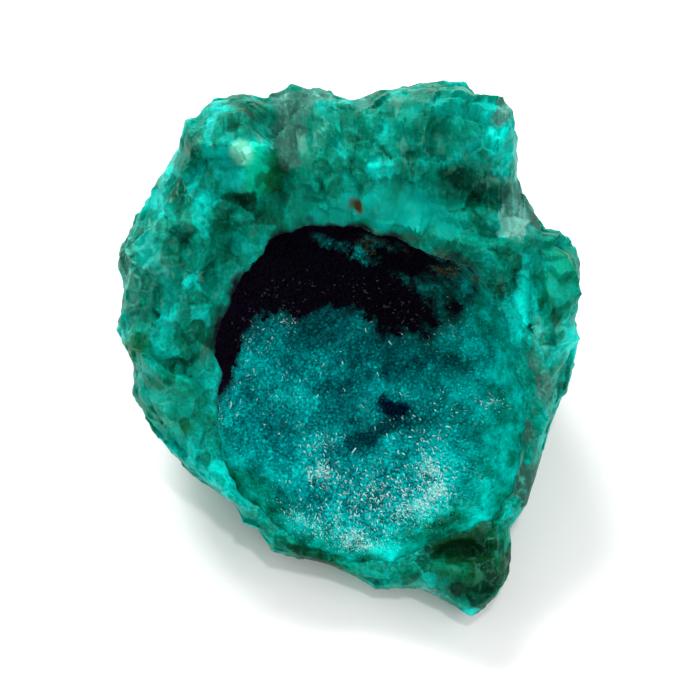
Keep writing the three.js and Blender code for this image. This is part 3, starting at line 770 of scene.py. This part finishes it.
def druse_numbers(points, share, angle):
    """The druse's colour numbers: tone, painted cave shade, specks, painted highlights, green edge."""
    soft = cloud(points, 2.2, 340)
    fine = cloud(points, 0.8, 350)
    # Painted shade: the cave is black above a ragged line, high in the hollow under the upper wall.
    cave_edge = np.interp(points[:, 0] + 0.5 * soft + 0.9 * fine, CAVE_ACROSS, CAVE_UP)
    cave_shade = ease(0.5 + (points[:, 1] - cave_edge + 1.1 * soft + 1.4 * fine) / 2.2)
    right = ease((points[:, 0] - 5) / 6)
    across, up, out = points.T
    slanted = np.stack([0.3 * (across - 0.6 * up), up + 0.6 * across, out], -1)
    streaks = np.clip(0.4 + 1.6 * cloud(slanted, 1.3, 355), 0, 1)
    cave_shade = cave_shade * (1 - right * streaks) - ovals(points, CAVE_GAPS) * (0.8 + 1.6 * fine)
    # The druse is also painted lighter where the sparkle highlights lie.
    specks, sparkle = ovals(points, SPECKS, 3), ovals(points, SPARKLE_PLACES, 1)
    tone = 0.55 + ovals(points, DRUSE_TONES) + 0.36 * cloud(points, 3, 360) + 0.3 * fine + 0.3 * sparkle
    green = around(SOFT_SIDES, angle) * ease((share - SOFT_FROM + 0.1 * soft) / (1 - SOFT_FROM))
    green = np.clip(green + ovals(points, DRUSE_GREENS, 1), 0, 1)
    rust = ovals(points, CAVE_RUST)
    return dict(tone=tone, cave_shade=cave_shade, speck=specks, sparkle=sparkle, green=green, rust=rust)


hidden_part = np.zeros(len(ground_points) - len(ground_front))
numbers = druse_numbers(ground_points, np.append(share, hidden_part), np.append(angle, hidden_part))
keep_numbers(ground, own=np.full(len(ground_points), 0.5), **numbers)
print("black share of the druse's ground:", round(float((numbers["cave_shade"] > 0.5).mean()), 2))

# %% [markdown]
# ## The crystals
# Dioptase grows as short six-sided prisms that end in three faces. They could be instances of one
# crystal, but each needs a size, a lean and numbers of its own, so they are worked out together
# as one array, thirteen points to a crystal. Broad, fine and tall ones make the sugary crust, and
# the thinnest carry painted highlights, white sparkle laid on them, which lie only in places.

# %% The crystals
STEEP = 1.1
SUNK = 0.12
CRYSTAL_POINTS = 13


def crystal_array(places, ways, radii, heights, twists):
    """Six-sided prisms with three-faced tips, as points and faces, sunk a little in the ground.

    A corner lies at the place plus radius times (cos, sin) across the axis. The tip's faces fall
    away from it by STEEP times the distance in three directions, so the shoulder's corners are
    in turn high and low.
    """
    helper = np.where(np.abs(ways[:, :1]) < 0.7, [[1.0, 0, 0]], [[0, 1.0, 0]])
    u = unit(np.cross(ways, helper))
    v = np.cross(ways, u)
    corner_angle = twists[:, None] + np.arange(6) / 6 * TURN
    ring = (np.cos(corner_angle)[..., None] * u[:, None] + np.sin(corner_angle)[..., None] * v[:, None])
    ring = ring * radii[:, None, None]
    fall = STEEP * radii[:, None] * np.where(np.arange(6) % 2, 1.0, 0.5)
    top = np.maximum(heights[:, None] - fall, 0.15 * heights[:, None])
    low = places[:, None] + ring - ways[:, None] * SUNK
    high = places[:, None] + ring + ways[:, None] * top[..., None]
    tip = places + ways * heights[:, None]
    points = np.concatenate([low, high, tip[:, None]], 1)
    k = np.arange(6)
    sides = np.stack([k, (k + 1) % 6, 6 + (k + 1) % 6, 6 + k], -1)
    even = np.arange(0, 6, 2)
    caps = np.stack([np.full(3, 12), 6 + even, 7 + even, 6 + (even + 2) % 6], -1)
    base = np.arange(len(places))[:, None, None] * CRYSTAL_POINTS
    quads = (base + np.concatenate([sides, caps])).reshape(-1, 4)
    return points.reshape(-1, 3), [quads, (base[:, 0] + k[::-1])]


SPARKLE_WAY = (-0.6, 0.8, 0)
AREA_SHARES = 120
AREA_ROUND = 360
cell_share = (np.repeat(np.arange(AREA_SHARES), AREA_ROUND) + 0.5) / AREA_SHARES
cell_angle = (np.tile(np.arange(AREA_ROUND), AREA_SHARES) + 0.5) / AREA_ROUND * TURN
areas = np.linalg.norm(wall_cross(cell_share, cell_angle, 0.5 / AREA_SHARES), axis=1)
area_so_far = np.cumsum(areas)


def grow_crystals(name, number, wide, tall, lean, salt, way=(0, 0, 0), sparkling=False):
    """Crystals spread evenly by area: the wall's area is summed cell by cell and shared out.

    Each stands along the wall's normal plus a shared way and a lean of its own. Crystals for painted
    highlights are kept only where the painted sparkle lies.
    """
    k = np.arange(number)
    shake = [chance(k, 0, n, salt) for n in range(8)]
    cell = np.searchsorted(area_so_far, (k + shake[0]) / number * area_so_far[-1])
    share = np.minimum((cell // AREA_ROUND + shake[1]) / AREA_SHARES, 1)
    angle = (cell % AREA_ROUND + shake[2]) / AREA_ROUND * TURN
    places, normals = hollow_point(share, angle), hollow_normal(share, angle)
    tilt = np.stack(shake[3:6], -1) * 2 - 1
    ways = unit(normals + np.array(way) + lean * tilt)
    numbers = druse_numbers(places, share, angle)
    numbers["own"] = chance(k, 1, 0, salt)
    grown = 1 - 0.5 * share**6 - 0.45 * numbers["green"]
    size = 0.55 + 0.9 * shake[6] ** 1.6
    radii, heights = wide * size * (0.75 + 0.5 * shake[7]) * grown, tall * size * grown
    # Sparkle crystals follow the painted highlights, and are fewer in the cave's painted shade.
    likely = numbers["sparkle"] * (1 - 0.5 * np.clip(numbers["cave_shade"], 0, 1))
    kept = likely > chance(k, 2, 0, salt) if sparkling else np.full(number, True)
    points, faces = crystal_array(
        places[kept], ways[kept], radii[kept], heights[kept], chance(k, 0, 8, salt)[kept] * TURN
    )
    piece = new_piece(name, to_part(points), faces, CRUST_NODE)
    numbers = {key: np.repeat(values[kept], CRYSTAL_POINTS) for key, values in numbers.items()}
    keep_numbers(piece, **numbers)
    return piece


broad_crystals = grow_crystals("druse_crystals_broad", 7500, 0.2, 0.36, 0.7, 400)
fine_crystals = grow_crystals("druse_crystals_fine", 8900, 0.13, 0.36, 0.9, 405)
tall_crystals = grow_crystals("druse_crystals_tall", 3500, 0.11, 0.52, 1.1, 410)
# The thinnest crystals carry the painted sparkle highlights.
sparkle_crystals = grow_crystals("druse_crystals_sparkle", 48000, 0.058, 0.44, 1.3, 420, SPARKLE_WAY, True)

# %% [markdown]
# ## Materials
# Massive dioptase is clear green crystal full of veils, cracks and cloudy patches, so light goes
# in, scatters and comes out again: mostly subsurface, with a little transmission. Its index of
# refraction is about 1.66. Its skin mirrors very little here, as in the photograph.

# %% Node helpers
def new_material(name):
    """A material, its node tree and its Principled shader."""
    material = bpy.data.materials.new(name)
    material.use_nodes = True
    return material, material.node_tree, material.node_tree.nodes["Principled BSDF"]


def node(tree, kind, inputs=(), **settings):
    """Adds a node, sets its options, and links or sets its inputs by name or number."""
    made = tree.nodes.new(kind)
    for key, value in settings.items():
        setattr(made, key, value)
    for key, value in dict(inputs).items():
        if isinstance(value, bpy.types.NodeSocket):
            tree.links.new(value, made.inputs[key])
        else:
            made.inputs[key].default_value = value
    return made


def number(tree, name):
    """A number kept on the mesh."""
    return node(tree, "ShaderNodeAttribute", attribute_name=name).outputs["Fac"]


def math_node(tree, operation, *values, clamp=False):
    """A sum, product or comparison of numbers or sockets."""
    made = node(tree, "ShaderNodeMath", dict(enumerate(values)), operation=operation, use_clamp=clamp)
    return made.outputs[0]


def swing(tree, share, texture, strength):
    """Adds a texture from 0 to 1 to a share, as a swing of that strength about its middle."""
    lowered = math_node(tree, "SUBTRACT", share, strength / 2)
    return math_node(tree, "MULTIPLY_ADD", texture, strength, lowered)


def ramp(tree, share, stops):
    """A colour ramp from (position, RGB) stops."""
    made = node(tree, "ShaderNodeValToRGB", {"Fac": share})
    elements = made.color_ramp.elements
    while len(elements) < len(stops):
        elements.new(0.5)
    for element, (position, colour) in zip(elements, stops):
        element.position = position
        element.color = (*colour, 1)
    return made.outputs["Color"]


def layered(tree, colour, layers):
    """Lays colours, as sockets or plain RGB, on a colour: each covers a share times a strength."""
    for over, share, strength in layers:
        over = over if isinstance(over, bpy.types.NodeSocket) else (*over, 1)
        share = math_node(tree, "MULTIPLY", share, strength, clamp=True)
        inputs = {0: share, 6: colour, 7: over}
        colour = node(tree, "ShaderNodeMix", inputs, data_type="RGBA").outputs[2]
    return colour


def map_range(tree, value, low, high, top=1.0):
    """Where a value lies on the way from low to high, as a number from 0 to top."""
    return node(tree, "ShaderNodeMapRange", {0: value, 1: low, 2: high, 4: top}).outputs[0]


def noise(tree, place, scale, detail, roughness=0.5):
    """Noise with finer octaves on top: how many, and how strong each is beside the one before."""
    inputs = {"Vector": place, "Scale": scale, "Detail": detail, "Roughness": roughness}
    return node(tree, "ShaderNodeTexNoise", inputs).outputs


def stretched(tree, place, turn, stretch):
    """A place stretched and then turned, for a pattern that runs one way."""
    inputs = {"Vector": place, "Rotation": turn, "Scale": stretch}
    return node(tree, "ShaderNodeMapping", inputs).outputs[0]


def cells(tree, place, scale):
    """Cells round scattered seeds: the pattern's outputs, and three shades of each cell's own."""
    made = node(tree, "ShaderNodeTexVoronoi", {"Vector": place, "Scale": scale}).outputs
    return made, node(tree, "ShaderNodeSeparateColor", {0: made["Color"]}).outputs


# %% [markdown]
# Two effects serve both the lump and the druse, so each is a node group with a scale in cells a
# metre. *Veils* are what lies inside the crystal: domains with a tone each, a few of them bright,
# clouds, streaks that run up the face and end in pale strokes, and pale flecks. *Grain* is the
# finest mottling.

# %% Shared node groups
BEND = 0.001  # how far the veils' places are bent, in metres


def new_group(name):
    """A node group with a scale as its input, and the object's own place to read noise at."""
    group = bpy.data.node_groups.new(name, "ShaderNodeTree")
    group.interface.new_socket("Scale", in_out="INPUT", socket_type="NodeSocketFloat")
    given = group.nodes.new("NodeGroupInput")
    return group, given.outputs["Scale"], node(group, "ShaderNodeTexCoord").outputs["Object"]


def give_out(group, values):
    """Ends a node group: one output for each named value."""
    for name in values:
        group.interface.new_socket(name, in_out="OUTPUT", socket_type="NodeSocketFloat")
    out = group.nodes.new("NodeGroupOutput")
    for name, value in values.items():
        group.links.new(value, out.inputs[name])
    return group


def veils_group():
    """Crystal domains, chips, clouds, streaks, strokes and flecks."""
    group, scale, place = new_group("veils")
    bend = {0: noise(group, place, 260.0, 3.0)["Color"], 1: (BEND,) * 3}
    shift = node(group, "ShaderNodeVectorMath", bend, operation="MULTIPLY").outputs[0]
    bent = node(group, "ShaderNodeVectorMath", {0: place, 1: shift}, operation="ADD").outputs[0]
    shades = cells(group, stretched(group, bent, (0.4, 0.7, 0.9), (1, 0.45, 1)), scale)[1]
    along = stretched(group, bent, (-LEAN, 0.2, 0), (1, 0.16, 0.5))
    fibres = noise(group, along, math_node(group, "MULTIPLY", scale, 3.5), 3.0)["Fac"]
    tight = math_node(group, "MULTIPLY", scale, 2.2)
    seeds, own = cells(group, stretched(group, bent, (-LEAN, 0.3, 0.2), (1, 0.4, 0.7)), tight)
    near = map_range(group, swing(group, seeds["Distance"], fibres, 1.6), 0.42, 0.22)
    return give_out(group, {
        "Domain": shades[0],
        "Chips": math_node(group, "GREATER_THAN", shades[1], 0.93),
        "Cloud": noise(group, bent, 330.0, 5.0, 0.6)["Fac"],
        "Streaks": fibres,
        "Strokes": map_range(group, fibres, 0.6, 0.68),
        "Flecks": math_node(group, "MULTIPLY", near, map_range(group, own[2], 0.68, 0.95)),
    })


def grain_group():
    """The finest mottling, from 0 to 1 about 0.5."""
    group, scale, place = new_group("grain")
    return give_out(group, {"Mottle": noise(group, place, scale, 4.0, 0.7)["Fac"]})


VEILS, GRAIN = veils_group(), grain_group()


def place_group(tree, group, scale):
    """A node group placed in a material at a scale of its own, as its outputs."""
    made = tree.nodes.new("ShaderNodeGroup")
    made.node_tree = group
    made.inputs["Scale"].default_value = scale
    return made.outputs


print("veils have", len(VEILS.nodes), "nodes, grain has", len(GRAIN.nodes))


# %% [markdown]
# The ramp runs from nearly black through bottle green and emerald to turquoise. Its places come
# from the mesh, and veils and grain make it swing about them. Rind, rust stains and specks lie on
# top, and last the cave's shade, painted black on the lip.

# %% The massive dioptase
BLACK_GREEN = (0.0, 0.018, 0.008)
BOTTLE = (0.0, 0.075, 0.04)
EMERALD = (0.0, 0.2, 0.135)
TEAL = (0.0, 0.36, 0.3)
TURQUOISE = (0.0, 0.66, 0.56)
OLIVE_DARK = (0.002, 0.03, 0.002)
OLIVE_GREEN = (0.0, 0.18, 0.06)
LEAF_GREEN = (0.0, 0.5, 0.27)
GLINT = (0.16, 0.8, 0.66)
FLECK = (0.18, 0.6, 0.46)
RIND_DARK = (0.025, 0.085, 0.065)
RIND = (0.075, 0.21, 0.165)
RIND_LIGHT = (0.2, 0.45, 0.38)
MINT_WHITE = (0.22, 0.78, 0.56)
RUSTY = (0.05, 0.032, 0.008)
# Painted shade: the near black of the cave, on the druse and on the lump's lip.
PAINTED_CAVE_SHADE = (0.003, 0.0, 0.004)
STONE_STOPS = [(0.0, BLACK_GREEN), (0.22, BOTTLE), (0.5, EMERALD), (0.72, TEAL), (1.0, TURQUOISE)]
DIOPTASE_IOR = 1.66
DIOPTASE_TINT = (0.25, 1.0, 0.9)


def dioptase_shader(shader, subsurface, transmission, specular):
    """The constants of the clear crystal: how it bends, scatters, passes and mirrors light."""
    shader.inputs["IOR"].default_value = DIOPTASE_IOR
    shader.inputs["Subsurface Weight"].default_value = subsurface
    shader.inputs["Subsurface Radius"].default_value = (0.8, 1.0, 0.95)
    shader.inputs["Subsurface Scale"].default_value = 0.001
    shader.inputs["Transmission Weight"].default_value = transmission
    shader.inputs["Specular IOR Level"].default_value = specular
    shader.inputs["Specular Tint"].default_value = (*DIOPTASE_TINT, 1)


def massive_material():
    """Massive dioptase: the tone ramp, olive places, rind, mint, rust and the cave's painted shade."""
    material, tree, shader = new_material("massive_dioptase_finish")
    big, small = place_group(tree, VEILS, 300.0), place_group(tree, VEILS, 900.0)
    mottle = place_group(tree, GRAIN, 2600.0)["Mottle"]
    cloudy, pale = big["Cloud"], number(tree, "pale")
    swings = 0.0
    for texture, strength in [
        (big["Domain"], 0.2), (small["Domain"], 0.14), (cloudy, 0.65), (big["Streaks"], 0.3),
        (small["Streaks"], 0.2), (mottle, 0.6),
    ]:
        swings = swing(tree, swings, texture, strength)
    swings = math_node(tree, "MULTIPLY_ADD", small["Chips"], 0.12, swings)
    share = math_node(tree, "MULTIPLY_ADD", swings, number(tree, "busy"), number(tree, "tone"))
    sugary = swing(tree, 0.0, mottle, 1.4)
    share = math_node(tree, "MULTIPLY_ADD", sugary, number(tree, "sugar"), share)
    olive = ramp(tree, share, [(0.0, OLIVE_DARK), (0.7, OLIVE_GREEN)])
    leaf = ramp(tree, share, [(0.2, OLIVE_GREEN), (0.9, LEAF_GREEN)])
    lightness = swing(tree, swing(tree, big["Streaks"], mottle, 1.2), number(tree, "tone"), 1.6)
    rind = ramp(tree, lightness, [(0.25, RIND_DARK), (0.7, RIND), (1.0, RIND_LIGHT)])
    rindy = map_range(tree, swing(tree, pale, cloudy, 1.1), 0.4, 0.75, 0.8)
    flecks = math_node(tree, "MULTIPLY", small["Flecks"], 0.4)
    flecks = math_node(tree, "MAXIMUM", big["Flecks"], flecks)
    flecks = math_node(tree, "MULTIPLY", flecks, number(tree, "fleck"), clamp=True)
    patchy = map_range(tree, small["Cloud"], 0.38, 0.5)
    colour = layered(tree, ramp(tree, share, STONE_STOPS), [
        (olive, swing(tree, number(tree, "olive"), cloudy, 0.6), 1.0),
        (leaf, number(tree, "leaf"), 0.8),
        (rind, rindy, 1.0),
        (FLECK, flecks, 0.8),
        (MINT_WHITE, number(tree, "mint"), 0.85),
        (GLINT, number(tree, "glint"), 0.7),
        (TURQUOISE, small["Strokes"], 0.12),
        (RUSTY, number(tree, "rust"), patchy),
        # Painted shade: the cave's black on the lip.
        (PAINTED_CAVE_SHADE, number(tree, "stain"), 1.0),
    ])
    tree.links.new(colour, shader.inputs["Base Color"])
    tree.links.new(math_node(tree, "MULTIPLY_ADD", rindy, 0.25, 0.36), shader.inputs["Roughness"])
    height = math_node(tree, "MULTIPLY_ADD", small["Domain"], 0.35, mottle)
    bump = node(tree, "ShaderNodeBump", {"Strength": 0.6, "Distance": 0.0002, "Height": height})
    tree.links.new(bump.outputs[0], shader.inputs["Normal"])
    dioptase_shader(shader, 0.5, 0.08, 0.02)
    return material


stone_finish = massive_material()
lump.data.materials.append(stone_finish)
print("the stone's finish has", len(stone_finish.node_tree.nodes), "nodes")

# %% [markdown]
# ## The druse's finish
# The druse is the same mineral in small clean crystals, so it is bluer. It has a ramp of its own,
# turns to the stone's ramp at its green edge, and is painted black in the cave as painted shade,
# as the cave is nearly without light in the photograph. The thinnest crystals take the same finish
# with white laid over it as painted highlights.

# %% The druse's finish
DEEP_BLUE = (0.0, 0.06, 0.075)
DRUSE_TEAL = (0.0, 0.24, 0.25)
DRUSE_BRIGHT = (0.0, 0.62, 0.6)
SPECK_BLUE = (0.0, 0.008, 0.03)
# Painted highlight: the white of the sparkle.
PAINTED_SPARKLE_WHITE = (0.55, 0.9, 0.88)
# Painted highlight under painted shade: the sparkle's dim grey in the cave.
DIM_SPARKLE_GREY = (0.05, 0.055, 0.07)
DRUSE_STOPS = [(0.0, DEEP_BLUE), (0.5, DRUSE_TEAL), (1.0, DRUSE_BRIGHT)]


def druse_material(name, own, sparkling=False):
    """Druse: its ramp, the stone's at the green edge, dark specks, painted highlights, painted cave
    shade.
    """
    material, tree, shader = new_material(name)
    mottle = place_group(tree, GRAIN, 2200.0)["Mottle"]
    cloudy = place_group(tree, VEILS, 500.0)["Cloud"]
    share = swing(tree, swing(tree, number(tree, "tone"), mottle, 0.7), cloudy, 1.4)
    share = swing(tree, share, number(tree, "own"), own)
    # Painted highlights: sparkle crystals are white all over, the others where the sparkle lies.
    if sparkling:
        painted_sparkle = math_node(tree, "MULTIPLY_ADD", number(tree, "own"), 0.7, 0.3)
    else:
        painted_sparkle = map_range(tree, swing(tree, number(tree, "sparkle"), mottle, 3.2), 0.85, 1.1, 0.95)
    colour = layered(tree, ramp(tree, share, DRUSE_STOPS), [
        (ramp(tree, share, STONE_STOPS), number(tree, "green"), 1.0),
        (PAINTED_SPARKLE_WHITE, painted_sparkle, 1.0),
        (SPECK_BLUE, number(tree, "speck"), 0.95),
        # Painted shade: the cave's black, or the sparkle's dim grey there.
        (DIM_SPARKLE_GREY if sparkling else PAINTED_CAVE_SHADE, number(tree, "cave_shade"), 1.04),
        (RUSTY, number(tree, "rust"), map_range(tree, cloudy, 0.4, 0.6)),
    ])
    tree.links.new(colour, shader.inputs["Base Color"])
    dullness = math_node(tree, "MULTIPLY_ADD", number(tree, "cave_shade"), 0.5, 0.25)
    tree.links.new(dullness, shader.inputs["Roughness"])
    dioptase_shader(shader, 0.0 if sparkling else 0.6, 0.05, 0.02)
    return material


ground.data.materials.append(druse_material("druse_ground_finish", 0.0))
crystal_finish = druse_material("druse_crystal_finish", 0.4)
for piece in (broad_crystals, fine_crystals, tall_crystals):
    piece.data.materials.append(crystal_finish)
# The sparkle crystals' finish: white painted highlights over the druse's own.
sparkle_crystals.data.materials.append(druse_material("druse_sparkle_finish", 0.5, True))
print("the crystals' finish has", len(crystal_finish.node_tree.nodes), "nodes")

# %% [markdown]
# ## The floor's finish and the end
# The floor is plain and pale, so that it takes nothing from the stone.

# %% The floor's finish
floor_material, _, floor_shader = new_material("floor_finish")
floor_shader.inputs["Base Color"].default_value = (0.9, 0.9, 0.9, 1)
floor_shader.inputs["Roughness"].default_value = 0.9
floor.data.materials.append(floor_material)
print("finishes:", sorted(bpy.data.materials.keys()))
